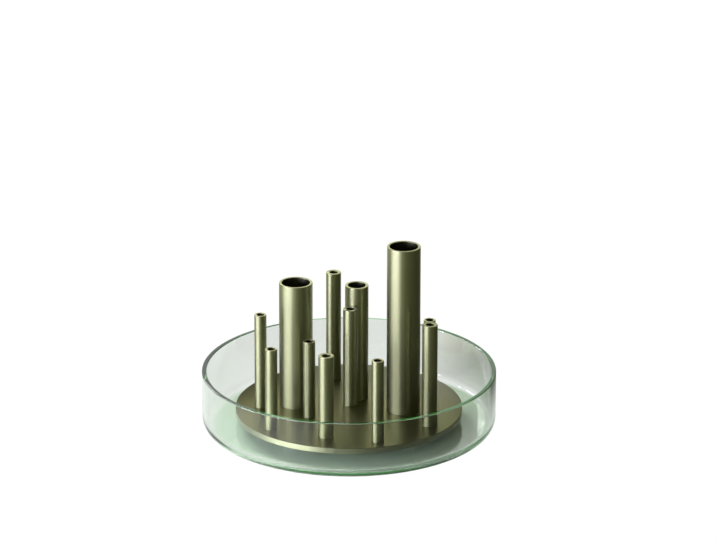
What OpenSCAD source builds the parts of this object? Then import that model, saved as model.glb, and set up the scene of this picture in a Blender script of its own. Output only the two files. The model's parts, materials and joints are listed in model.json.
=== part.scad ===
// Low vase: a shallow glass bowl, and an insert of upright stem tubes that lifts out of it.
// The origin is the middle of the bowl's underside, +Z is up, and the front of the vase faces -Y.

/* [Bowl] */
// Outside diameter of the glass bowl
bowl_d = 250; // [230:1:300]
// Height of the bowl
bowl_h = 50; // [40:1:80]
// Thickness of the upright wall
wall_t = 4; // [3:0.5:6]
// Thickness of the flat floor
floor_t = 5; // [3:0.5:8]
// Outside radius of the bottom corner
corner_r = 10; // [8:0.5:16]
// Radius on the two edges of the lip
lip_r = 0.8; // [0.2:0.1:1.4]

/* [Base plate] */
// Diameter of the plate
plate_d = 193; // [185:1:210]
// Thickness of the plate
plate_t = 5; // [4:0.5:8]
// Width of the bevel round the plate's two edges
plate_bevel = 0.5; // [0.2:0.1:1]

/* [Feet] */
// Height of the plate's underside above the glass floor
foot_h = 7; // [4:0.5:12]
// Diameter of a foot where it meets the plate
foot_d = 12; // [9:0.5:14]
// Diameter of a foot where it stands on the glass
foot_tip_d = 9; // [6:0.5:9]
// Distance of a foot's middle in from the plate's edge
foot_inset = 26.5; // [24.5:0.5:28.5]
// Diameter of the stem that plugs a foot into the plate
foot_stem_d = 5; // [3:0.5:7]
// Length of that stem
foot_stem_l = 3; // [2:0.5:3]

/* [Tube sections] */
// Outside diameter of the wide tubes
wide_d = 28.5; // [27:0.5:30]
// Bore of the wide tubes
wide_bore = 24; // [18:0.5:24]
// Outside diameter of the medium tube
medium_d = 20; // [18:0.5:22]
// Bore of the medium tube
medium_bore = 15; // [12:0.5:15.5]
// Outside diameter of the narrow tubes
narrow_d = 13; // [11.5:0.5:14]
// Bore of the narrow tubes
narrow_bore = 7; // [6:0.5:9]
// Outside diameter of the thin tubes
thin_d = 10.3; // [10:0.1:12]
// Bore of the thin tubes
thin_bore = 6.5; // [5:0.5:7.5]
// Width of the bevel round both edges of a tube's mouth
tube_bevel = 0.3; // [0.1:0.1:0.6]
// Width of the shoulder that a tube rests on the plate with
shoulder_w = 0.75; // [0.5:0.05:0.9]
// Clearance all round a spigot or a foot's stem in its hole
seat_gap = 0.05; // [0.02:0.01:0.1]

/* [Wide tube on the right] */
// Place across, from the middle of the bowl
wide_right_x = 46; // [43:0.5:49]
// Place towards the back
wide_right_y = -9; // [-12:0.5:-6]
// Height above the plate
wide_right_h = 147; // [60:0.5:200]

/* [Wide tube on the left] */
// Place across, from the middle of the bowl
wide_left_x = -45; // [-48:0.5:-43]
// Place towards the back
wide_left_y = 3.5; // [1:0.5:6]
// Height above the plate
wide_left_h = 110; // [60:0.5:200]

/* [Medium tube] */
// Place across, from the middle of the bowl
medium_x = 6.5; // [4:0.5:9]
// Place towards the back
medium_y = 19; // [16:0.5:22]
// Height above the plate
medium_h = 102; // [60:0.5:200]

/* [Narrow tube at the centre] */
// Gap between this tube and the medium tube behind it
pair_gap = 0.5; // [0.5:0.5:4]
// Direction from the medium tube to this one, turned from the direction across
pair_angle = 252; // [240:0.5:260]
// Height above the plate
narrow_centre_h = 86.5; // [60:0.5:200]

/* [Narrow tube at the back] */
// Direction from the middle of the plate, turned from the direction across
narrow_back_angle = 102; // [99:0.5:105]
// Distance of its middle in from the plate's edge
narrow_back_inset = 32; // [29:0.5:35]
// Height above the plate
narrow_back_h = 97.5; // [60:0.5:200]

/* [Narrow tube at the front] */
// Direction from the middle of the plate, turned from the direction across
narrow_front_angle = 254.5; // [252:0.5:257]
// Distance of its middle in from the plate's edge
narrow_front_inset = 25.5; // [23:0.5:28]
// Height above the plate
narrow_front_h = 71.5; // [60:0.5:200]

/* [Narrow tube on the right] */
// Direction from the middle of the plate, turned from the direction across
narrow_right_angle = 328; // [326:0.5:330]
// Distance of its middle in from the plate's edge
narrow_right_inset = 16.5; // [15:0.5:18]
// Height above the plate
narrow_right_h = 89.5; // [60:0.5:200]

/* [Thin tube at the far left] */
// Direction from the middle of the plate, turned from the direction across
thin_far_left_angle = 182.5; // [180:0.5:185]
// Distance of its middle in from the plate's edge
thin_far_left_inset = 21.5; // [19:0.5:24]
// Height above the plate
thin_far_left_h = 83.5; // [60:0.5:200]

/* [Thin tube on the left] */
// Direction from the middle of the plate, turned from the direction across
thin_left_angle = 218.5; // [217.5:0.5:219.5]
// Distance of its middle in from the plate's edge
thin_left_inset = 13.5; // [12:0.5:15]
// Height above the plate
thin_left_h = 71; // [60:0.5:200]

/* [Thin tube left of the middle] */
// Place across, from the middle of the bowl
thin_mid_x = -33.5; // [-36:0.5:-31]
// Place towards the back
thin_mid_y = -25.5; // [-28:0.5:-23]
// Height above the plate
thin_mid_h = 68; // [60:0.5:200]

/* [Thin tube at the front] */
// Direction from the middle of the plate, turned from the direction across
thin_front_angle = 287; // [285:0.5:289]
// Distance of its middle in from the plate's edge
thin_front_inset = 14; // [12:0.5:17]
// Height above the plate
thin_front_h = 71.5; // [60:0.5:200]

/* [Thin tube on the right] */
// Direction from the middle of the plate, turned from the direction across
thin_right_angle = 16.5; // [14:0.5:19]
// Distance of its middle in from the plate's edge
thin_right_inset = 25; // [22:0.5:28]
// Height above the plate
thin_right_h = 70; // [60:0.5:200]

/* [Hidden] */

$fn = 96;
// How far a cutter runs past the face that it cuts
cut_over = 1;
// Least flat left between the two rounded edges of the lip
lip_flat = 0.2;

bowl_r = bowl_d / 2;
plate_z = floor_t + foot_h;
plate_top_z = plate_z + plate_t;
foot_ring_r = plate_d / 2 - foot_inset;

// The narrow tube at the centre stands against the medium tube, at a set gap and direction
pair_reach = (medium_d + narrow_d) / 2 + pair_gap;
narrow_centre_place = [medium_x, medium_y] + pair_reach * [cos(pair_angle), sin(pair_angle)];

// Place on the plate in a direction from its middle and at a distance in from its edge
function in_from_edge(angle, inset) = (plate_d / 2 - inset) * [cos(angle), sin(angle)];

// Each tube is [[across, back], height above the plate, outside diameter, bore]
wide_right = [[wide_right_x, wide_right_y], wide_right_h, wide_d, wide_bore];
wide_left = [[wide_left_x, wide_left_y], wide_left_h, wide_d, wide_bore];
medium = [[medium_x, medium_y], medium_h, medium_d, medium_bore];
narrow_centre = [narrow_centre_place, narrow_centre_h, narrow_d, narrow_bore];
narrow_back = [in_from_edge(narrow_back_angle, narrow_back_inset), narrow_back_h, narrow_d, narrow_bore];
narrow_front = [in_from_edge(narrow_front_angle, narrow_front_inset), narrow_front_h, narrow_d, narrow_bore];
narrow_right = [in_from_edge(narrow_right_angle, narrow_right_inset), narrow_right_h, narrow_d, narrow_bore];
thin_far_left = [in_from_edge(thin_far_left_angle, thin_far_left_inset), thin_far_left_h, thin_d, thin_bore];
thin_left = [in_from_edge(thin_left_angle, thin_left_inset), thin_left_h, thin_d, thin_bore];
thin_mid = [[thin_mid_x, thin_mid_y], thin_mid_h, thin_d, thin_bore];
thin_front = [in_from_edge(thin_front_angle, thin_front_inset), thin_front_h, thin_d, thin_bore];
thin_right = [in_from_edge(thin_right_angle, thin_right_inset), thin_right_h, thin_d, thin_bore];
TUBES = [
    wide_right, wide_left, medium,
    narrow_centre, narrow_back, narrow_front, narrow_right,
    thin_far_left, thin_left, thin_mid, thin_front, thin_right
];

// Directions of the feet from the middle of the plate
FOOT_ANGLES = [45, 135, 225, 315];

// The spigot is the part of a tube that sits in the plate
function spigot_r(tube) = tube[2] / 2 - shoulder_w;

// Half section from the axis out to radius r, with the outer bottom corner rounded
module rounded_half(r, h, corner) {
    translate([0, corner]) square([r, h - corner]);
    square([r - corner, h]);
    translate([r - corner, corner]) circle(corner);
}

// The bit of a square corner that lies outside a round of radius r about the origin
module corner_waste(r) {
    difference() {
        square(r + cut_over);
        circle(r);
    }
}

module glass_bowl() {
    inner_r = bowl_r - wall_t;
    inner_corner = corner_r - wall_t;
    lip = min(lip_r, (wall_t - lip_flat) / 2);
    color([0.78, 0.89, 0.82, 0.4])
    rotate_extrude()
    difference() {
        rounded_half(bowl_r, bowl_h, corner_r);
        translate([0, floor_t]) rounded_half(inner_r, bowl_h, inner_corner);
        translate([bowl_r - lip, bowl_h - lip]) corner_waste(lip);
        translate([inner_r + lip, bowl_h - lip]) mirror([1, 0]) corner_waste(lip);
    }
}

module base_plate() {
    r = plate_d / 2;
    color([0.46, 0.47, 0.34])
    difference() {
        translate([0, 0, plate_z])
        rotate_extrude()
        polygon([
            [0, 0], [r - plate_bevel, 0], [r, plate_bevel],
            [r, plate_t - plate_bevel], [r - plate_bevel, plate_t], [0, plate_t]
        ]);
        for (tube = TUBES)
            translate([tube[0][0], tube[0][1], plate_z - cut_over])
            cylinder(r = spigot_r(tube) + seat_gap, h = plate_t + 2 * cut_over);
        for (angle = FOOT_ANGLES)
            rotate(angle) translate([foot_ring_r, 0, plate_z - cut_over])
            cylinder(d = foot_stem_d + 2 * seat_gap, h = foot_stem_l + seat_gap + cut_over);
    }
}

// One open tube: it rests on the plate with a shoulder, and its spigot ends level with the underside
module stem_tube(tube) {
    rise = tube[1];
    r = tube[2] / 2;
    bore_r = tube[3] / 2;
    color([0.5, 0.51, 0.36])
    translate([tube[0][0], tube[0][1], plate_top_z])
    rotate_extrude()
    polygon([
        [bore_r, -plate_t], [spigot_r(tube), -plate_t], [spigot_r(tube), 0], [r, 0],
        [r, rise - tube_bevel], [r - tube_bevel, rise],
        [bore_r + tube_bevel, rise], [bore_r, rise - tube_bevel]
    ]);
}

// One soft foot, plugged into the plate's underside at the given direction
module foot(angle) {
    color([0.82, 0.83, 0.8])
    rotate(angle) translate([foot_ring_r, 0, floor_t])
    rotate_extrude()
    polygon([
        [0, 0], [foot_tip_d / 2, 0], [foot_d / 2, foot_h],
        [foot_stem_d / 2, foot_h], [foot_stem_d / 2, foot_h + foot_stem_l], [0, foot_h + foot_stem_l]
    ]);
}

glass_bowl();
base_plate();
stem_tube(wide_right);  // wide_tube_right
stem_tube(wide_left);  // wide_tube_left
stem_tube(medium);  // medium_tube
stem_tube(narrow_centre);  // narrow_tube_centre
stem_tube(narrow_back);  // narrow_tube_back
stem_tube(narrow_front);  // narrow_tube_front
stem_tube(narrow_right);  // narrow_tube_right
stem_tube(thin_far_left);  // thin_tube_far_left
stem_tube(thin_left);  // thin_tube_left
stem_tube(thin_mid);  // thin_tube_mid
stem_tube(thin_front);  // thin_tube_front
stem_tube(thin_right);  // thin_tube_right
foot(FOOT_ANGLES[0]);  // foot_back_right
foot(FOOT_ANGLES[1]);  // foot_back_left
foot(FOOT_ANGLES[2]);  // foot_front_left
foot(FOOT_ANGLES[3]);  // foot_front_right
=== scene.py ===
"""A low vase, dressed: a shallow bowl of pale green glass and the anodised insert that stands in it.

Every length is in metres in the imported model's frame. The origin is the middle of the bowl's underside,
+Z is up, and the front of the vase, with the short tubes, faces -Y.
"""

import json
import logging
import math
from collections.abc import Callable
from dataclasses import dataclass
from enum import Enum

import bmesh
import bpy
from mathutils import Matrix, Vector, geometry


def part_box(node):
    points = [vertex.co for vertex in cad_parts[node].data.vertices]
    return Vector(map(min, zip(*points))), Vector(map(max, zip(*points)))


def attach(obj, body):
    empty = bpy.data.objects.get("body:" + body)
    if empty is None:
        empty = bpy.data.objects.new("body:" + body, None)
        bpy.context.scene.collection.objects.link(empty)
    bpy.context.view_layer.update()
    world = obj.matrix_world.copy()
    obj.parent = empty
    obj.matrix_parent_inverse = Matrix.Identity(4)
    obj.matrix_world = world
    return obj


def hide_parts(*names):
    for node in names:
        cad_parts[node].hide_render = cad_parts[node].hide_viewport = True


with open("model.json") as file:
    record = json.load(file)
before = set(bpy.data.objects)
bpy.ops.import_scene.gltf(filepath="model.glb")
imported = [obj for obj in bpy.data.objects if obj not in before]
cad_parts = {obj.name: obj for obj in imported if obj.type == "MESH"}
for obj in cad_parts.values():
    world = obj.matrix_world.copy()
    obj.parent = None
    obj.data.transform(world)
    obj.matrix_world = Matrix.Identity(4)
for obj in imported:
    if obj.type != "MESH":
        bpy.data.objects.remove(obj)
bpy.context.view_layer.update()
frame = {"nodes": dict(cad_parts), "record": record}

MM = 0.001
WHITE = "#ffffff"

# The colour attribute of the pieces: its red and green are the two marks that their materials read
MARKS = "marks"
# The colour attribute of the shades: its colour is how bright the sheet glows, its alpha how much it covers
SHADE = "shade"
# Nearly all values of a noise texture lie between these two
NOISE_LOW = 0.3
NOISE_HIGH = 0.7
# An edge that turns by more than this stays sharp
SHARP = math.radians(32)
# The flats beside a rounded corner are held flat for this share of its radius
HOLD = 0.35

Point = tuple[float, float]
Pair = tuple[float, float]
Ring = list[bmesh.types.BMVert]
log = logging.getLogger("low_vase")


def linear(code: str) -> tuple[float, float, float, float]:
    """Turns an sRGB hex colour into the linear colour that shaders take.

    Args:
        code: the colour, such as "#8a8c70".
    Returns:
        Linear red, green and blue, and an alpha of 1.
    """
    parts = [int(code[i : i + 2], 16) / 255 for i in (1, 3, 5)]
    red, green, blue = (c / 12.92 if c <= 0.04045 else ((c + 0.055) / 1.055) ** 2.4 for c in parts)
    return red, green, blue, 1.0


def add(tree: bpy.types.NodeTree, kind: str, inputs: dict | None = None, **settings) -> bpy.types.Node:
    """Adds a node with its settings and links.

    Args:
        tree: the node tree that gets the node.
        kind: the node's type name, such as "ShaderNodeTexNoise".
        inputs: for each input, by name or number, the value to set or the socket to link.
        settings: the node's own properties.
    Returns:
        The new node.
    """
    node = tree.nodes.new(kind)
    for name, value in settings.items():
        setattr(node, name, value)
    for key, value in (inputs or {}).items():
        if isinstance(value, bpy.types.NodeSocket):
            tree.links.new(value, node.inputs[key])
        else:
            node.inputs[key].default_value = value
    return node


def new_material(name: str) -> tuple[bpy.types.Material, bpy.types.NodeTree, bpy.types.Node]:
    """Makes an empty material.

    Args:
        name: the material's name.
    Returns:
        The material, its node tree and its output node.
    """
    material = bpy.data.materials.new(name)
    material.use_nodes = True
    tree = material.node_tree
    tree.nodes.clear()
    return material, tree, add(tree, "ShaderNodeOutputMaterial")


def rounded(corners: list[Point], radii: list[float], steps: int = 5) -> list[Point]:
    """Rounds the corners of a closed outline.

    Args:
        corners: the outline's corners as (radius, height), in order.
        radii: the rounding radius of each corner, 0 for one that stays sharp.
        steps: pieces that each arc is cut into.
    Returns:
        The outline's points, with one more point on each side of an arc to hold the flats flat.
    """
    points: list[Point] = []
    for i, (corner, radius) in enumerate(zip(corners, radii)):
        here = Vector(corner)
        if radius <= 0:
            points.append((here.x, here.y))
            continue
        before = (Vector(corners[i - 1]) - here).normalized()
        after = (Vector(corners[(i + 1) % len(corners)]) - here).normalized()
        half = before.angle(after) / 2
        reach = radius / math.tan(half)
        middle = here + (before + after).normalized() * (radius / math.sin(half))
        start = here + before * reach - middle
        turn = math.pi - 2 * half
        if before.x * after.y - before.y * after.x > 0:
            turn = -turn
        hold = radius * HOLD
        points.append(tuple(middle + start + before * hold))
        for k in range(steps + 1):
            points.append(tuple(middle + Matrix.Rotation(turn * k / steps, 2) @ start))
        points.append(tuple(here + after * (reach + hold)))
    return points


def ring_of(mesh: bmesh.types.BMesh, radius: float, height: float, place: Point, segments: int) -> Ring:
    """Adds a ring of points to a mesh.

    Args:
        mesh: the mesh.
        radius: the ring's radius.
        height: the ring's height.
        place: its middle, across and back.
        segments: how many points it has.
    Returns:
        The points, in order.
    """
    turns = (math.tau * k / segments for k in range(segments))
    return [mesh.verts.new((place[0] + radius * math.cos(t), place[1] + radius * math.sin(t), height))
            for t in turns]


def join_rings(mesh: bmesh.types.BMesh, ring: Ring, following: Ring) -> None:
    """Joins two rings of as many points with a band of faces.

    Args:
        mesh: the mesh that holds both.
        ring: the first ring.
        following: the second ring.
    """
    for k in range(len(ring)):
        m = (k + 1) % len(ring)
        mesh.faces.new((ring[k], ring[m], following[m], following[k]))


def lathe(name: str, outline: list[Point], place: Point = (0.0, 0.0), segments: int = 96,
          marks: Callable[[float, float], Pair] | None = None) -> bpy.types.Object:
    """Turns a closed outline round an upright axis into one closed mesh.

    Args:
        name: the piece's name.
        outline: points of the outline as (radius, height), in order; at a radius of 0 a flat face ends it.
        place: where the axis stands, across and back.
        segments: steps round the axis.
        marks: gives both marks at a radius and height, or None for a piece without marks.
    Returns:
        The new object, smooth apart from its sharp corners.
    """
    mesh = bmesh.new()
    layer = mesh.verts.layers.float_color.new(MARKS)
    rings = [ring_of(mesh, radius, height, place, segments) if radius > 0 else []
             for radius, height in outline]
    for ring, following in zip(rings, rings[1:] + rings[:1]):
        if ring and following:
            join_rings(mesh, ring, following)
        elif ring or following:
            mesh.faces.new(ring or following)
    for ring, (radius, height) in zip(rings, outline):
        first, second = marks(radius, height) if marks else (0.0, 0.0)
        for point in ring:
            point[layer] = (first, second, 0.0, 1.0)
    return finish_mesh(name, mesh)


def finish_mesh(name: str, mesh: bmesh.types.BMesh) -> bpy.types.Object:
    """Turns a mesh's faces outwards, shades it smooth up to its sharp corners and links it into the scene.

    Args:
        name: the piece's name.
        mesh: the mesh, which is freed.
    Returns:
        The new object.
    """
    bmesh.ops.recalc_face_normals(mesh, faces=mesh.faces)
    for face in mesh.faces:
        face.smooth = True
    for edge in mesh.edges:
        if len(edge.link_faces) == 2 and edge.calc_face_angle(0.0) > SHARP:
            edge.smooth = False
    data = bpy.data.meshes.new(name)
    mesh.to_mesh(data)
    mesh.free()
    piece = bpy.data.objects.new(name, data)
    bpy.context.scene.collection.objects.link(piece)
    return piece


def hand_over(piece: bpy.types.Object, node: str, body: str,
              material: bpy.types.Material) -> None:
    """Puts a finished piece in the place of a CAD node.

    Args:
        piece: the new piece.
        node: the CAD node that it stands for.
        body: the body that it rides on.
        material: its finish.
    """
    piece.data.materials.append(material)
    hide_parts(node)
    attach(piece, body)
    log.info("%s: %d faces on %s, %s", piece.name, len(piece.data.polygons), body, material.name)


def middle_of(node: str) -> Point:
    """Returns where the middle of a CAD node is, across and back."""
    low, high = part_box(node)
    return (low[0] + high[0]) / 2, (low[1] + high[1]) / 2


def radius_of(node: str) -> float:
    """Returns the radius of a round CAD node."""
    low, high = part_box(node)
    return (high[0] - low[0]) / 2


class Grain(Enum):
    """How the surface of the aluminium was made before it was anodised."""

    DRAWN = "drawn through a die, with faint lines along the tube"
    TURNED = "turned on a lathe, with faint rings round the plate"


@dataclass(frozen=True)
class AnodisedAluminium:
    """Olive anodised aluminium.

    The dyed oxide gives a soft metal colour, deep in the shade and nearly white where a lamp strikes it.
    The etch before anodising blurs every reflection into a satin band.
    The marks tell it how worn a point is and whether it is inside a bore, where its colour is painted
    darker: painted shade.
    """

    name: str
    grain: Grain
    colour: str = "#83885f"
    worn_colour: str = "#8f9170"
    # Painted shade: a darker colour inside the bores, for the shade in the deep holes
    bore_shade_colour: str = "#3c3e28"
    roughness: float = 0.35
    roughness_spread: float = 0.015
    anisotropy: float = 0.5
    # A quarter turn lays the stretch of a highlight along the axis instead of round it
    anisotropy_turn: float = 0.25
    oxide_weight: float = 1.0
    oxide_ior: float = 1.7
    oxide_roughness: float = 0.33
    # Real draw lines are about 0.1 mm apart. They are drawn 1.6 mm apart so that they show.
    line_spacing: float = 1.6 * MM
    line_length: float = 400 * MM
    line_height: float = 0.002 * MM
    # The dye bath leaves slow clouds of a slightly lighter and darker tone
    cloud_size: float = 25 * MM
    cloud_tone: float = 0.06

    def lines(self, tree: bpy.types.NodeTree, place: bpy.types.NodeSocket) -> bpy.types.NodeSocket:
        """Adds the nodes of the fine lines, along a tube or round the plate.

        Args:
            tree: the node tree that gets them.
            place: the socket that gives the place on the object.
        Returns:
            The socket that gives how high the surface is.
        """
        if self.grain is Grain.DRAWN:
            stretch = (1 / self.line_spacing, 1 / self.line_spacing, 1 / self.line_length)
            along = add(tree, "ShaderNodeMapping", {"Vector": place, "Scale": stretch})
            drawn = add(tree, "ShaderNodeTexNoise", {"Vector": along.outputs[0], "Scale": 1.0,
                                                     "Detail": 3.0})
            return drawn.outputs["Fac"]
        apart = add(tree, "ShaderNodeSeparateXYZ", {"Vector": place})
        flat = add(tree, "ShaderNodeCombineXYZ", {"X": apart.outputs["X"], "Y": apart.outputs["Y"]})
        reach = add(tree, "ShaderNodeVectorMath", {0: flat.outputs[0]}, operation="LENGTH")
        ring = add(tree, "ShaderNodeMath", {0: reach.outputs["Value"], 1: 1 / self.line_spacing},
                   operation="MULTIPLY")
        turned = add(tree, "ShaderNodeTexNoise", {"W": ring.outputs[0], "Scale": 1.0, "Detail": 3.0},
                     noise_dimensions="1D")
        return turned.outputs["Fac"]

    def make(self) -> bpy.types.Material:
        """Makes the material.

        Returns:
            The finished material.
        """
        material, tree, output = new_material(self.name)
        place = add(tree, "ShaderNodeTexCoord").outputs["Object"]
        lines = self.lines(tree, place)
        clouds = add(tree, "ShaderNodeTexNoise", {"Vector": place, "Scale": 1 / self.cloud_size,
                                                  "Detail": 4.0})
        marks = add(tree, "ShaderNodeAttribute", attribute_name=MARKS)
        marked = add(tree, "ShaderNodeSeparateColor", {"Color": marks.outputs["Color"]})
        worn = add(tree, "ShaderNodeMix", {"Factor": marked.outputs["Red"], "A": linear(self.colour),
                                           "B": linear(self.worn_colour)}, data_type="RGBA")
        # Inside the bores the colour turns darker: painted shade
        dyed = add(tree, "ShaderNodeMix", {"Factor": marked.outputs["Green"], "A": worn.outputs["Result"],
                                           "B": linear(self.bore_shade_colour)}, data_type="RGBA")
        tone = add(tree, "ShaderNodeMapRange", {
            "Value": clouds.outputs["Fac"], "From Min": NOISE_LOW, "From Max": NOISE_HIGH,
            "To Min": 1 - self.cloud_tone, "To Max": 1 + self.cloud_tone})
        colour = add(tree, "ShaderNodeVectorMath", {0: dyed.outputs["Result"], "Scale": tone.outputs[0]},
                     operation="SCALE")
        rough = add(tree, "ShaderNodeMapRange", {
            "Value": lines, "From Min": NOISE_LOW, "From Max": NOISE_HIGH,
            "To Min": self.roughness - self.roughness_spread,
            "To Max": self.roughness + self.roughness_spread})
        bump = add(tree, "ShaderNodeBump", {"Height": lines, "Strength": 1.0, "Distance": self.line_height})
        metal = add(tree, "ShaderNodeBsdfPrincipled", {
            "Base Color": colour.outputs[0], "Metallic": 1.0, "Roughness": rough.outputs[0],
            "Anisotropic": self.anisotropy, "Anisotropic Rotation": self.anisotropy_turn,
            "Tangent": add(tree, "ShaderNodeTangent", direction_type="RADIAL", axis="Z").outputs[0],
            "Coat Weight": self.oxide_weight, "Coat IOR": self.oxide_ior,
            "Coat Roughness": self.oxide_roughness, "Normal": bump.outputs[0]})
        tree.links.new(metal.outputs[0], output.inputs["Surface"])
        return material


@dataclass(frozen=True)
class SodaLimeGlass:
    """Soda-lime glass with its natural iron green.

    It was spun to shape and fire-polished, so it is clear and glossy with a slow, slight wave in its walls.
    Light that runs further inside it comes out greener. The first mark tells it where it rests on a floor.
    """

    name: str = "soda_lime_glass"
    ior: float = 1.52
    roughness: float = 0.0
    absorbed: str = "#d0f1ce"
    density: float = 36.0
    wave_length: float = 45 * MM
    wave_height: float = 0.10 * MM

    def passes(self, tree: bpy.types.NodeTree) -> bpy.types.NodeSocket:
        """Adds the nodes that tell which rays go straight through the surface.

        Shadow rays do, so that lamps shine through the glass. So does light that the floor of the bowl
        turned down once, where the underside touches what it stands on.

        Args:
            tree: the node tree that gets them.
        Returns:
            A socket that is 1 for those rays and 0 for the rest.
        """
        rays = add(tree, "ShaderNodeLightPath")
        marks = add(tree, "ShaderNodeAttribute", attribute_name=MARKS)
        resting = add(tree, "ShaderNodeSeparateColor", {"Color": marks.outputs["Color"]})
        turned_once = add(tree, "ShaderNodeMath", {0: rays.outputs["Glossy Depth"], 1: 1.0, 2: 0.5},
                          operation="COMPARE")
        let_out = add(tree, "ShaderNodeMath", {0: resting.outputs["Red"], 1: turned_once.outputs[0]},
                      operation="MULTIPLY")
        return add(tree, "ShaderNodeMath", {0: rays.outputs["Is Shadow Ray"], 1: let_out.outputs[0]},
                   operation="MAXIMUM").outputs[0]

    def make(self) -> bpy.types.Material:
        """Makes the material.

        Returns:
            The finished material.
        """
        material, tree, output = new_material(self.name)
        place = add(tree, "ShaderNodeTexCoord").outputs["Object"]
        waves = add(tree, "ShaderNodeTexNoise", {"Vector": place, "Scale": 1 / self.wave_length,
                                                 "Detail": 1.0})
        bump = add(tree, "ShaderNodeBump", {"Height": waves.outputs["Fac"], "Strength": 1.0,
                                            "Distance": self.wave_height})
        glass = add(tree, "ShaderNodeBsdfPrincipled", {
            "Base Color": linear(WHITE), "Roughness": self.roughness, "IOR": self.ior,
            "Transmission Weight": 1.0, "Normal": bump.outputs[0]})
        clear = add(tree, "ShaderNodeBsdfTransparent")
        surface = add(tree, "ShaderNodeMixShader", {0: self.passes(tree), 1: glass.outputs[0],
                                                    2: clear.outputs[0]})
        inside = add(tree, "ShaderNodeVolumeAbsorption", {"Color": linear(self.absorbed),
                                                          "Density": self.density})
        tree.links.new(surface.outputs[0], output.inputs["Surface"])
        tree.links.new(inside.outputs[0], output.inputs["Volume"])
        return material


@dataclass(frozen=True)
class SiliconeRubber:
    """Translucent silicone rubber, moulded.

    It is milky, with a soft broad sheen and a fine orange-peel skin.
    """

    name: str = "silicone_rubber"
    colour: str = "#d2d4cc"
    ior: float = 1.41
    roughness: float = 0.5
    roughness_spread: float = 0.08
    peel_size: float = 0.8 * MM
    peel_height: float = 0.02 * MM
    milkiness: float = 0.3
    light_reach: float = 2 * MM

    def make(self) -> bpy.types.Material:
        """Makes the material.

        Returns:
            The finished material.
        """
        material, tree, output = new_material(self.name)
        place = add(tree, "ShaderNodeTexCoord").outputs["Object"]
        skin = add(tree, "ShaderNodeTexNoise", {"Vector": place, "Scale": 1 / self.peel_size, "Detail": 2.0})
        rough = add(tree, "ShaderNodeMapRange", {"Value": skin.outputs["Fac"],
                                                 "To Min": self.roughness - self.roughness_spread,
                                                 "To Max": self.roughness + self.roughness_spread})
        bump = add(tree, "ShaderNodeBump", {"Height": skin.outputs["Fac"], "Distance": self.peel_height})
        rubber = add(tree, "ShaderNodeBsdfPrincipled", {
            "Base Color": linear(self.colour), "Roughness": rough.outputs[0], "IOR": self.ior,
            "Subsurface Weight": self.milkiness, "Subsurface Scale": self.light_reach,
            "Normal": bump.outputs[0]})
        tree.links.new(rubber.outputs[0], output.inputs["Surface"])
        return material


@dataclass
class GlassBowl:
    """The shallow round bowl: an upright wall, a flat floor and a round bottom corner."""

    node: str = "glass_bowl"
    wall: float = 4 * MM
    floor: float = 5 * MM
    corner: float = 10 * MM
    lip: float = 0.8 * MM
    # A point this near the underside is marked as resting on what the bowl stands on
    contact: float = 0.01 * MM
    segments: int = 256
    corner_steps: int = 12

    def outline(self) -> list[Point]:
        """Draws the bowl's half section.

        Returns:
            Its points as (radius, height).
        """
        low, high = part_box(self.node)
        radius, top = high[0], high[2]
        inner = radius - self.wall
        corners = [(0.0, low[2]), (radius, low[2]), (radius, top), (inner, top), (inner, self.floor),
                   (0.0, self.floor)]
        radii = [0.0, self.corner, self.lip, self.lip, self.corner - self.wall, 0.0]
        return rounded(corners, radii, self.corner_steps)

    def build(self, finish: SodaLimeGlass) -> bpy.types.Object:
        """Builds and dresses the bowl.

        Args:
            finish: the glass.
        Returns:
            The bowl.
        """
        low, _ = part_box(self.node)
        bowl = lathe("bowl", self.outline(), segments=self.segments,
                     marks=lambda radius, height: (float(height < low[2] + self.contact), 0.0))
        hand_over(bowl, self.node, "bowl", finish.make())
        return bowl


@dataclass
class StemTube:
    """One open tube: a spigot in the plate, a shoulder on it and an open mouth with eased edges."""

    node: str
    bore: float
    plate_low: float
    plate_top: float
    shoulder: float = 0.75 * MM
    ease: float = 0.3 * MM
    # The top of an eased edge is worn, down to this share of its height
    worn_share: float = 0.9
    segments: int = 96

    def spigot_radius(self) -> float:
        """Returns the radius of the part that sits in the plate."""
        return radius_of(self.node) - self.shoulder

    def marks_up_to(self, top: float) -> Callable[[float, float], Pair]:
        """Marks the eased edges of the mouth as worn and the bore as inside.

        Args:
            top: height of the tube's mouth.
        Returns:
            The function that gives both marks at a radius and height.
        """
        def marks(radius: float, height: float) -> Pair:
            """Marks one point.

            Args:
                radius: its distance from the tube's axis.
                height: its height.
            Returns:
                1 where it is worn and 0 elsewhere, and the same for inside.
            """
            worn = height > top - self.ease * self.worn_share
            inside = radius < self.bore + self.ease / 2 and not worn
            return float(worn), float(inside)
        return marks

    def build(self, finish: bpy.types.Material) -> bpy.types.Object:
        """Builds and dresses the tube.

        Args:
            finish: its material.
        Returns:
            The tube.
        """
        radius, top = radius_of(self.node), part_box(self.node)[1][2]
        spigot = self.spigot_radius()
        corners = [(self.bore, self.plate_low), (spigot, self.plate_low), (spigot, self.plate_top),
                   (radius, self.plate_top), (radius, top), (self.bore, top)]
        outline = rounded(corners, [0.0, 0.0, 0.0, self.ease / 3, self.ease, self.ease])
        name = self.node.replace("tube", "stem_tube")
        piece = lathe(name, outline, middle_of(self.node), self.segments, self.marks_up_to(top))
        hand_over(piece, self.node, "insert", finish)
        return piece


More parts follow.
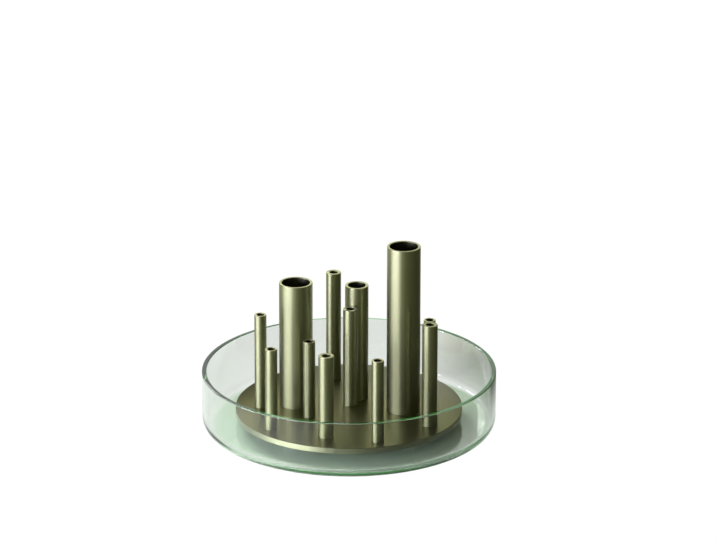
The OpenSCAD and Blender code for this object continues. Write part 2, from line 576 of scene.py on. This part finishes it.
@dataclass
class Foot:
    """One soft foot, plugged into the plate's underside."""

    node: str
    plate_low: float
    tip: float = 4.5 * MM
    stem: float = 2.5 * MM
    ease: float = 1.2 * MM
    segments: int = 48

    def top(self) -> float:
        """Returns the height of the end of its stem."""
        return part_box(self.node)[1][2]

    def build(self, finish: bpy.types.Material) -> bpy.types.Object:
        """Builds and dresses the foot.

        Args:
            finish: its material.
        Returns:
            The foot.
        """
        low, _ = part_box(self.node)
        corners = [(0.0, low[2]), (self.tip, low[2]), (radius_of(self.node), self.plate_low),
                   (self.stem, self.plate_low), (self.stem, self.top()), (0.0, self.top())]
        outline = rounded(corners, [0.0, self.ease, self.ease / 4, 0.0, self.ease / 3, 0.0])
        piece = lathe(self.node + "_pad", outline, middle_of(self.node), self.segments)
        hand_over(piece, self.node, "insert", finish)
        return piece


@dataclass
class BasePlate:
    """The round plate, bored through for each tube and blind for each foot."""

    node: str = "base_plate"
    ease: float = 0.5 * MM
    seat_gap: float = 0.05 * MM
    segments: int = 240
    hole_segments: int = 72
    # Points of a face that are nearer than this are one
    same_point: float = 1e-9
    # A triangle whose middle is within this share of a hole's radius lies in the hole
    hole_share: float = 0.999
    # The side of the plate has normals that rise by less than this
    side_rise: float = 0.7

    def face(self, mesh: bmesh.types.BMesh, edge: Ring, holes: list[Ring]) -> None:
        """Fills a flat face of the plate round its holes with triangles.

        Args:
            mesh: the plate's mesh.
            edge: the ring round the face.
            holes: the ring round each hole.
        """
        points = edge + [point for hole in holes for point in hole]
        sides, start = [], 0
        for ring in [edge, *holes]:
            sides += [(start + k, start + (k + 1) % len(ring)) for k in range(len(ring))]
            start += len(ring)
        places = [point.co.xy for point in points]
        centres = [(sum((point.co.xy for point in hole), Vector((0, 0))) / len(hole), hole[0].co.xy)
                   for hole in holes]
        corners, _, faces, origins, _, _ = geometry.delaunay_2d_cdt(places, sides, [], 0, self.same_point)
        for face in faces:
            middle = sum((corners[i] for i in face), Vector((0, 0))) / len(face)
            if all((middle - centre).length > (rim - centre).length * self.hole_share
                   for centre, rim in centres):
                mesh.faces.new([points[origins[i][0]] for i in face])

    def build(self, tubes: list[StemTube], feet: list[Foot], top: bpy.types.Material,
              side: bpy.types.Material) -> bpy.types.Object:
        """Builds and dresses the plate.

        Args:
            tubes: the tubes that it is bored for.
            feet: the feet that it has blind holes for.
            top: the material of its faces.
            side: the material of its edge.
        Returns:
            The plate.
        """
        low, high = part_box(self.node)
        radius, under, over = high[0], low[2], high[2]
        inner = radius - 2 * (1 + HOLD) * self.ease
        corners = [(inner, under), (radius, under), (radius, over), (inner, over)]
        outline = rounded(corners, [0.0, self.ease, self.ease, 0.0])
        mesh = bmesh.new()
        rings = [ring_of(mesh, *point, (0.0, 0.0), self.segments) for point in outline]
        for ring, following in zip(rings, rings[1:]):
            join_rings(mesh, ring, following)
        upper, lower = [], []
        for tube in tubes:
            hole, place = tube.spigot_radius() + self.seat_gap, middle_of(tube.node)
            upper.append(ring_of(mesh, hole, over, place, self.hole_segments))
            lower.append(ring_of(mesh, hole, under, place, self.hole_segments))
            join_rings(mesh, upper[-1], lower[-1])
        for foot in feet:
            hole, place = foot.stem + self.seat_gap, middle_of(foot.node)
            end = ring_of(mesh, hole, foot.top() + self.seat_gap, place, self.hole_segments)
            lower.append(ring_of(mesh, hole, under, place, self.hole_segments))
            join_rings(mesh, end, lower[-1])
            mesh.faces.new(end)
        self.face(mesh, rings[0], lower)
        self.face(mesh, rings[-1], upper)
        piece = finish_mesh("plate", mesh)
        hand_over(piece, self.node, "insert", top)
        piece.data.materials.append(side)
        for face in piece.data.polygons:
            if face.center.xy.length > radius - self.ease and abs(face.normal.z) < self.side_rise:
                face.material_index = 1
        return piece


@dataclass
class Insert:
    """The lift-out insert: the plate, its tubes and its feet."""

    # A tube whose bore has less than this radius is a slim one
    slim_bore: float = 5 * MM

    def build(self) -> None:
        """Builds and dresses every piece of the insert."""
        drawn = AnodisedAluminium("drawn_anodised_aluminium", Grain.DRAWN).make()
        # The slim tubes have a brighter highlight of the same width, which is stretched further along them
        slim = AnodisedAluminium("slim_drawn_anodised_aluminium", Grain.DRAWN, roughness=0.38,
                                 anisotropy=0.68).make()
        # The faces of the plate have a thinner oxide and a colour painted darker than the tubes' on the same
        # metal, which is painted shade, and no highlight is stretched on them
        turned = AnodisedAluminium("turned_anodised_aluminium_painted_darker", Grain.TURNED, "#5e5d35", roughness=0.32,
                                   anisotropy=0.0, oxide_weight=0.35, oxide_ior=1.4).make()
        # The edge of the plate has a colour painted lighter than the tubes' on the same metal: a painted
        # highlight
        edge = AnodisedAluminium("turned_anodised_edge_painted_lighter", Grain.TURNED, "#8f926e", roughness=0.45,
                                 anisotropy=0.9).make()
        rubber = SiliconeRubber().make()
        low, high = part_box("base_plate")
        bores = [mount for mount in frame["record"]["mounts"] if mount["kind"] == "bore"]
        tubes = [StemTube(bore["name"].removesuffix("_bore"), bore["dims"]["r_mm"] * MM, low[2], high[2])
                 for bore in bores]
        feet = [Foot(node, low[2]) for node in frame["nodes"] if node.startswith("foot")]
        BasePlate().build(tubes, feet, turned, edge)
        for tube in tubes:
            tube.build(slim if tube.bore < self.slim_bore else drawn)
        for foot in feet:
            foot.build(rubber)


def seen_directly_or_mirrored(tree: bpy.types.NodeTree) -> bpy.types.NodeSocket:
    """Adds nodes that tell the rays that show the set from those that light with it.

    Args:
        tree: the node tree that gets the nodes.
    Returns:
        A socket that is 1 for rays from the camera, also after glass or metal, and 0 for the rest.
    """
    rays = add(tree, "ShaderNodeLightPath")
    seen = add(tree, "ShaderNodeMath", {0: rays.outputs["Is Camera Ray"],
                                        1: rays.outputs["Is Transmission Ray"]}, operation="MAXIMUM")
    shown = add(tree, "ShaderNodeMath", {0: seen.outputs[0], 1: rays.outputs["Is Glossy Ray"]},
                operation="MAXIMUM")
    unscattered = add(tree, "ShaderNodeMath", {0: rays.outputs["Diffuse Depth"], 1: 0.5},
                      operation="LESS_THAN")
    return add(tree, "ShaderNodeMath", {0: shown.outputs[0], 1: unscattered.outputs[0]},
               operation="MULTIPLY").outputs[0]


@dataclass(frozen=True)
class Shade:
    """A sheet round part of the set, whose glow paints what the metal mirrors: painted shade on its dark
    side or, behind it, a painted reflection on its light one.

    It has soft ends, shows fully in what the metal mirrors and less through clear glass, and never alone.
    """

    name: str
    # Each level is a direction, turned from the front towards the right, and how bright the sheet glows
    # there
    levels: tuple[Pair, ...]
    # Each row, from the object outwards, is its distance, height, brightness and cover
    rows: tuple[tuple[float, float, float, float], ...]
    # How much of it shows through clear glass, straight and after a reflection
    in_glass: Pair = (0.0, 0.0)
    # The tint of the sheet's glow
    glow_tint: str = "#ffffd0"

    def sheet_glow(self) -> bpy.types.Material:
        """Makes the material: a sheet that glows at its level and mirrors nothing, which paints shade and
        light into what the metal mirrors.

        Returns:
            The finished material, which shows as bright as the level of the place.
        """
        material, tree, output = new_material("painted_reflection_sheet")
        clear = add(tree, "ShaderNodeBsdfTransparent")
        marks = add(tree, "ShaderNodeAttribute", attribute_name=SHADE)
        dyed = add(tree, "ShaderNodeVectorMath", {0: marks.outputs["Color"], 1: linear(self.glow_tint)[:3]},
                   operation="MULTIPLY")
        sheet_glow = add(tree, "ShaderNodeEmission", {"Color": dyed.outputs[0], "Strength": 1.0})
        rays = add(tree, "ShaderNodeLightPath")
        in_clear = add(tree, "ShaderNodeMapRange", {"Value": rays.outputs["Glossy Depth"],
                                                    "To Min": self.in_glass[0], "To Max": self.in_glass[1]})
        shows = add(tree, "ShaderNodeMapRange", {"Value": rays.outputs["Is Singular Ray"], "To Min": 1.0,
                                                 "To Max": in_clear.outputs[0]})
        cover = add(tree, "ShaderNodeMath", {0: marks.outputs["Alpha"], 1: shows.outputs[0]},
                    operation="MULTIPLY")
        shown = add(tree, "ShaderNodeMixShader", {0: cover.outputs[0], 1: clear.outputs[0],
                                                  2: sheet_glow.outputs[0]})
        tree.links.new(shown.outputs[0], output.inputs["Surface"])
        return material

    def hang(self) -> None:
        """Hangs the glowing sheet, hidden from the camera and from all light but mirrored rays."""
        mesh = bmesh.new()
        layer = mesh.verts.layers.float_color.new(SHADE)
        last = len(self.levels) - 1
        rows = []
        for reach, height, row_level, cover in self.rows:
            row = []
            for k, (turn, level) in enumerate(self.levels):
                angle = math.radians(turn)
                point = mesh.verts.new((reach * math.sin(angle), -reach * math.cos(angle), height))
                bright = level * row_level
                point[layer] = (bright, bright, bright, cover if 0 < k < last else 0.0)
                row.append(point)
            rows.append(row)
        for row, following in zip(rows, rows[1:]):
            for k in range(last):
                mesh.faces.new((row[k], row[k + 1], following[k + 1], following[k]))
        shade = finish_mesh(self.name, mesh)
        shade.data.materials.append(self.sheet_glow())
        shade.visible_camera = False
        shade.visible_diffuse = False
        shade.visible_shadow = False


@dataclass(frozen=True)
class Lamp:
    """A rectangular soft lamp."""

    name: str
    place: tuple[float, float, float]
    size: Pair
    watts: float
    tint: str = WHITE
    # Whether it lights the floor too, or only what has a sheen
    on_paper: bool = True

    def hang(self, aim: Vector) -> None:
        """Hangs the lamp.

        Args:
            aim: the point that it faces.
        """
        data = bpy.data.lights.new(self.name, "AREA")
        data.shape = "RECTANGLE"
        data.size, data.size_y = self.size
        data.energy = self.watts
        data.color = linear(self.tint)[:3]
        lamp = bpy.data.objects.new(self.name, data)
        lamp.location = self.place
        lamp.rotation_euler = (aim - Vector(self.place)).to_track_quat("-Z", "Y").to_euler()
        # The shadow rays already carry its light through the glass, so it isn't counted a second time
        lamp.visible_transmission = False
        lamp.visible_diffuse = self.on_paper
        bpy.context.scene.collection.objects.link(lamp)


@dataclass
class Studio:
    """The pale floor, the lamps, the white surroundings and the camera."""

    distance: float = 3.5
    aim_across: float = 7.5 * MM
    camera_height: float = 1.41865
    pitch: float = math.radians(20.076)
    roll: float = math.radians(0.10)
    focal_px: float = 4422.1
    picture_width: int = 716
    sensor: float = 36.0
    floor_size: float = 12.0
    floor_gap: float = 0.3 * MM
    floor_parts: int = 8
    # The paper's faint green is painted light: it stands in for the green light that comes through the glass
    paper_colour_with_painted_green_light: str = "#ced7cd"
    surroundings: float = 0.08
    through_glass: float = 0.86
    # Seen through the glass, the floor shows white from here outwards and keeps its shadow under the bowl.
    # Its middle is set off to the right and front, so the white comes nearer the bowl on the left and at the
    # back: painted light.
    glow_middle: Point = (4 * MM, -3 * MM)
    glow_from: float = 115 * MM
    glow_to: float = 123 * MM
    glow_share: float = 0.95
    glow: float = 1.05
    # Light turns many times inside the glass before it comes out at a rim or at the foot of the wall
    light_turns: int = 48
    lamps_aim: float = 60 * MM
    shade_lift: float = 1 * MM
    shade_height: float = 0.9
    shade_reach: float = 0.9
    # These dark shades stand just inside the bowl's wall, where there is only shade, and darken what the
    # lower metal mirrors: painted shade
    near_reach: float = 118 * MM

    def camera(self) -> None:
        """Sets up the camera at the photograph's viewing angle."""
        data = bpy.data.cameras.new("camera")
        data.sensor_width = self.sensor
        data.lens = self.focal_px * self.sensor / self.picture_width
        across = Vector((1, 0, 0))
        forward = Vector((0, math.cos(self.pitch), -math.sin(self.pitch)))
        level_up = Vector((0, math.sin(self.pitch), math.cos(self.pitch)))
        right = across * math.cos(self.roll) + level_up * math.sin(self.roll)
        up = level_up * math.cos(self.roll) - across * math.sin(self.roll)
        turn = Matrix((right, up, -forward)).transposed().to_4x4()
        place = Matrix.Translation((self.aim_across, -self.distance, self.camera_height))
        camera = bpy.data.objects.new("camera", data)
        camera.matrix_world = place @ turn
        bpy.context.scene.collection.objects.link(camera)
        bpy.context.scene.camera = camera

    def paper(self) -> bpy.types.Material:
        """Makes the floor's material: matt pressed paper, even and without sheen, so it keeps soft shadows.

        Returns:
            The finished material.
        """
        material, tree, output = new_material("white_paper")
        place = add(tree, "ShaderNodeTexCoord").outputs["Object"]
        rays = add(tree, "ShaderNodeLightPath")
        paper = add(tree, "ShaderNodeBsdfDiffuse", {"Color": linear(self.paper_colour_with_painted_green_light)})
        bright = add(tree, "ShaderNodeMapRange", {"Value": rays.outputs["Is Transmission Ray"],
                                                  "To Min": self.glow, "To Max": self.through_glass})
        glow = add(tree, "ShaderNodeEmission", {"Color": linear(WHITE), "Strength": bright.outputs[0]})
        reach = add(tree, "ShaderNodeVectorMath", {0: place, 1: (*self.glow_middle, 0.0)},
                    operation="DISTANCE")
        outside = add(tree, "ShaderNodeMapRange", {
            "Value": reach.outputs["Value"], "From Min": self.glow_from, "From Max": self.glow_to,
            "To Max": self.glow_share}, interpolation_type="SMOOTHSTEP")
        straight = add(tree, "ShaderNodeMath", {0: rays.outputs["Is Camera Ray"], 1: self.glow_share},
                       operation="MULTIPLY")
        white = add(tree, "ShaderNodeMath", {0: outside.outputs[0], 1: straight.outputs[0]},
                    operation="MAXIMUM")
        share = add(tree, "ShaderNodeMath", {0: seen_directly_or_mirrored(tree), 1: white.outputs[0]},
                    operation="MULTIPLY")
        both = add(tree, "ShaderNodeMixShader", {0: share.outputs[0], 1: paper.outputs[0],
                                                 2: glow.outputs[0]})
        tree.links.new(both.outputs[0], output.inputs["Surface"])
        return material

    def floor(self) -> None:
        """Lays the plain pale floor."""
        mesh = bmesh.new()
        bmesh.ops.create_grid(mesh, x_segments=self.floor_parts, y_segments=self.floor_parts,
                              size=self.floor_size / 2)
        bmesh.ops.translate(mesh, verts=mesh.verts, vec=(0, 0, -self.floor_gap))
        floor = finish_mesh("floor", mesh)
        floor.data.materials.append(self.paper())

    def world(self) -> None:
        """Sets plain white surroundings, which light the object at a lower strength than they show."""
        world = bpy.data.worlds.new("surroundings")
        world.use_nodes = True
        tree = world.node_tree
        tree.nodes.clear()
        rays = add(tree, "ShaderNodeLightPath")
        seen = add(tree, "ShaderNodeMapRange", {"Value": rays.outputs["Is Transmission Ray"], "To Min": 1.0,
                                                "To Max": self.through_glass})
        level = add(tree, "ShaderNodeMapRange", {"Value": seen_directly_or_mirrored(tree),
                                                 "To Min": self.surroundings, "To Max": seen.outputs[0]})
        white = add(tree, "ShaderNodeBackground", {"Color": linear(WHITE), "Strength": level.outputs[0]})
        add(tree, "ShaderNodeOutputWorld", {"Surface": white.outputs[0]})
        bpy.context.scene.world = world

    def shades(self) -> tuple[Shade, ...]:
        """Lays out the shades, whose levels were matched to the dark side of the tubes and the plate.

        Returns:
            The shades.
        """
        low, high, far, near = self.shade_lift, self.shade_height, self.shade_reach, self.near_reach
        right = ((0.12, low, 0.4, 0.0), (0.15, low, 0.4, 0.5), (0.2, low, 0.4, 1.0), (0.3, low, 0.7, 1.0),
                 (far, low, 1.0, 1.0), (far, 0.2, 0.7, 1.0), (far, high, 0.6, 1.0))
        left = ((0.14, low, 0.3, 0.0), (0.18, low, 0.4, 1.0), (0.25, low, 0.6, 1.0), (0.4, low, 1.2, 1.0),
                (0.8, low, 1.4, 0.6), (far, 0.12, 0.6, 1.0), (far, high, 0.5, 1.0))
        back = ((far, 0.05, 1.0, 0.0), (far, 0.2, 1.0, 1.0), (far, high, 0.6, 1.0))
        above = ((far, 0.5, 0.3, 0.0), (0.85, 0.75, 0.3, 1.0), (0.4, 1.0, 0.3, 1.0), (0.02, 1.05, 0.3, 1.0))
        wall = ((near, 0.004, 1.0, 1.0), (near, 0.03, 1.0, 1.0), (near, 0.044, 1.0, 0.6),
                (near, 0.056, 1.0, 0.0))
        right_levels = ((-28, 1.0), (-14, 0.72), (0, 0.46), (18, 0.31), (37, 0.24), (56, 0.19), (78, 0.14),
                        (103, 0.12), (120, 0.12), (140, 0.2), (165, 1.0))
        left_levels = ((-178, 1.0), (-160, 0.5), (-140, 0.4), (-120, 0.45), (-104, 0.5), (-88, 1.0))
        back_levels = ((140, 0.8), (155, 0.8), (171, 1.0), (180, 1.5), (189, 2.1), (205, 2.3), (220, 2.3))
        return (Shade("right_shade", right_levels, right, in_glass=(0.8, 1.0)),
                Shade("left_shade", left_levels, left),
                Shade("back_shade", back_levels, back),
                Shade("top_shade", tuple((turn, 1.0) for turn in range(-60, 301, 30)), above),
                Shade("near_right_shade", tuple((turn, 0.05) for turn in (-15, 30, 60, 90, 105, 130)), wall),
                Shade("near_left_shade", tuple((turn, 0.1) for turn in (-175, -150, -125, -105, -85)), wall))

    def lamps(self) -> tuple[Lamp, ...]:
        """Returns the lamps: a long low one at the left, one high behind and a weak one overhead."""
        return (Lamp("key", place=(-0.93, -0.58, 0.20), size=(1.15, 0.36), watts=31.6, tint="#ebe5ff",
                     on_paper=False),
                Lamp("window", place=(-0.67, 1.16, 0.87), size=(0.6, 0.6), watts=16),
                Lamp("top", place=(-0.3, 0.2, 1.6), size=(1.2, 1.2), watts=3.2))

    def build(self) -> None:
        """Builds the whole set."""
        self.camera()
        self.floor()
        self.world()
        for shade in self.shades():
            shade.hang()
        for lamp in self.lamps():
            lamp.hang(Vector((0, 0, self.lamps_aim)))
        scene = bpy.context.scene
        scene.view_settings.view_transform = "Standard"
        scene.cycles.max_bounces = self.light_turns
        scene.cycles.glossy_bounces = self.light_turns
        scene.cycles.transmission_bounces = self.light_turns


def main() -> None:
    """Builds the vase and its set in order."""
    logging.basicConfig(level=logging.INFO, format="%(name)s: %(message)s")
    Studio().build()
    GlassBowl().build(SodaLimeGlass())
    Insert().build()


if __name__ == "__main__":
    main()
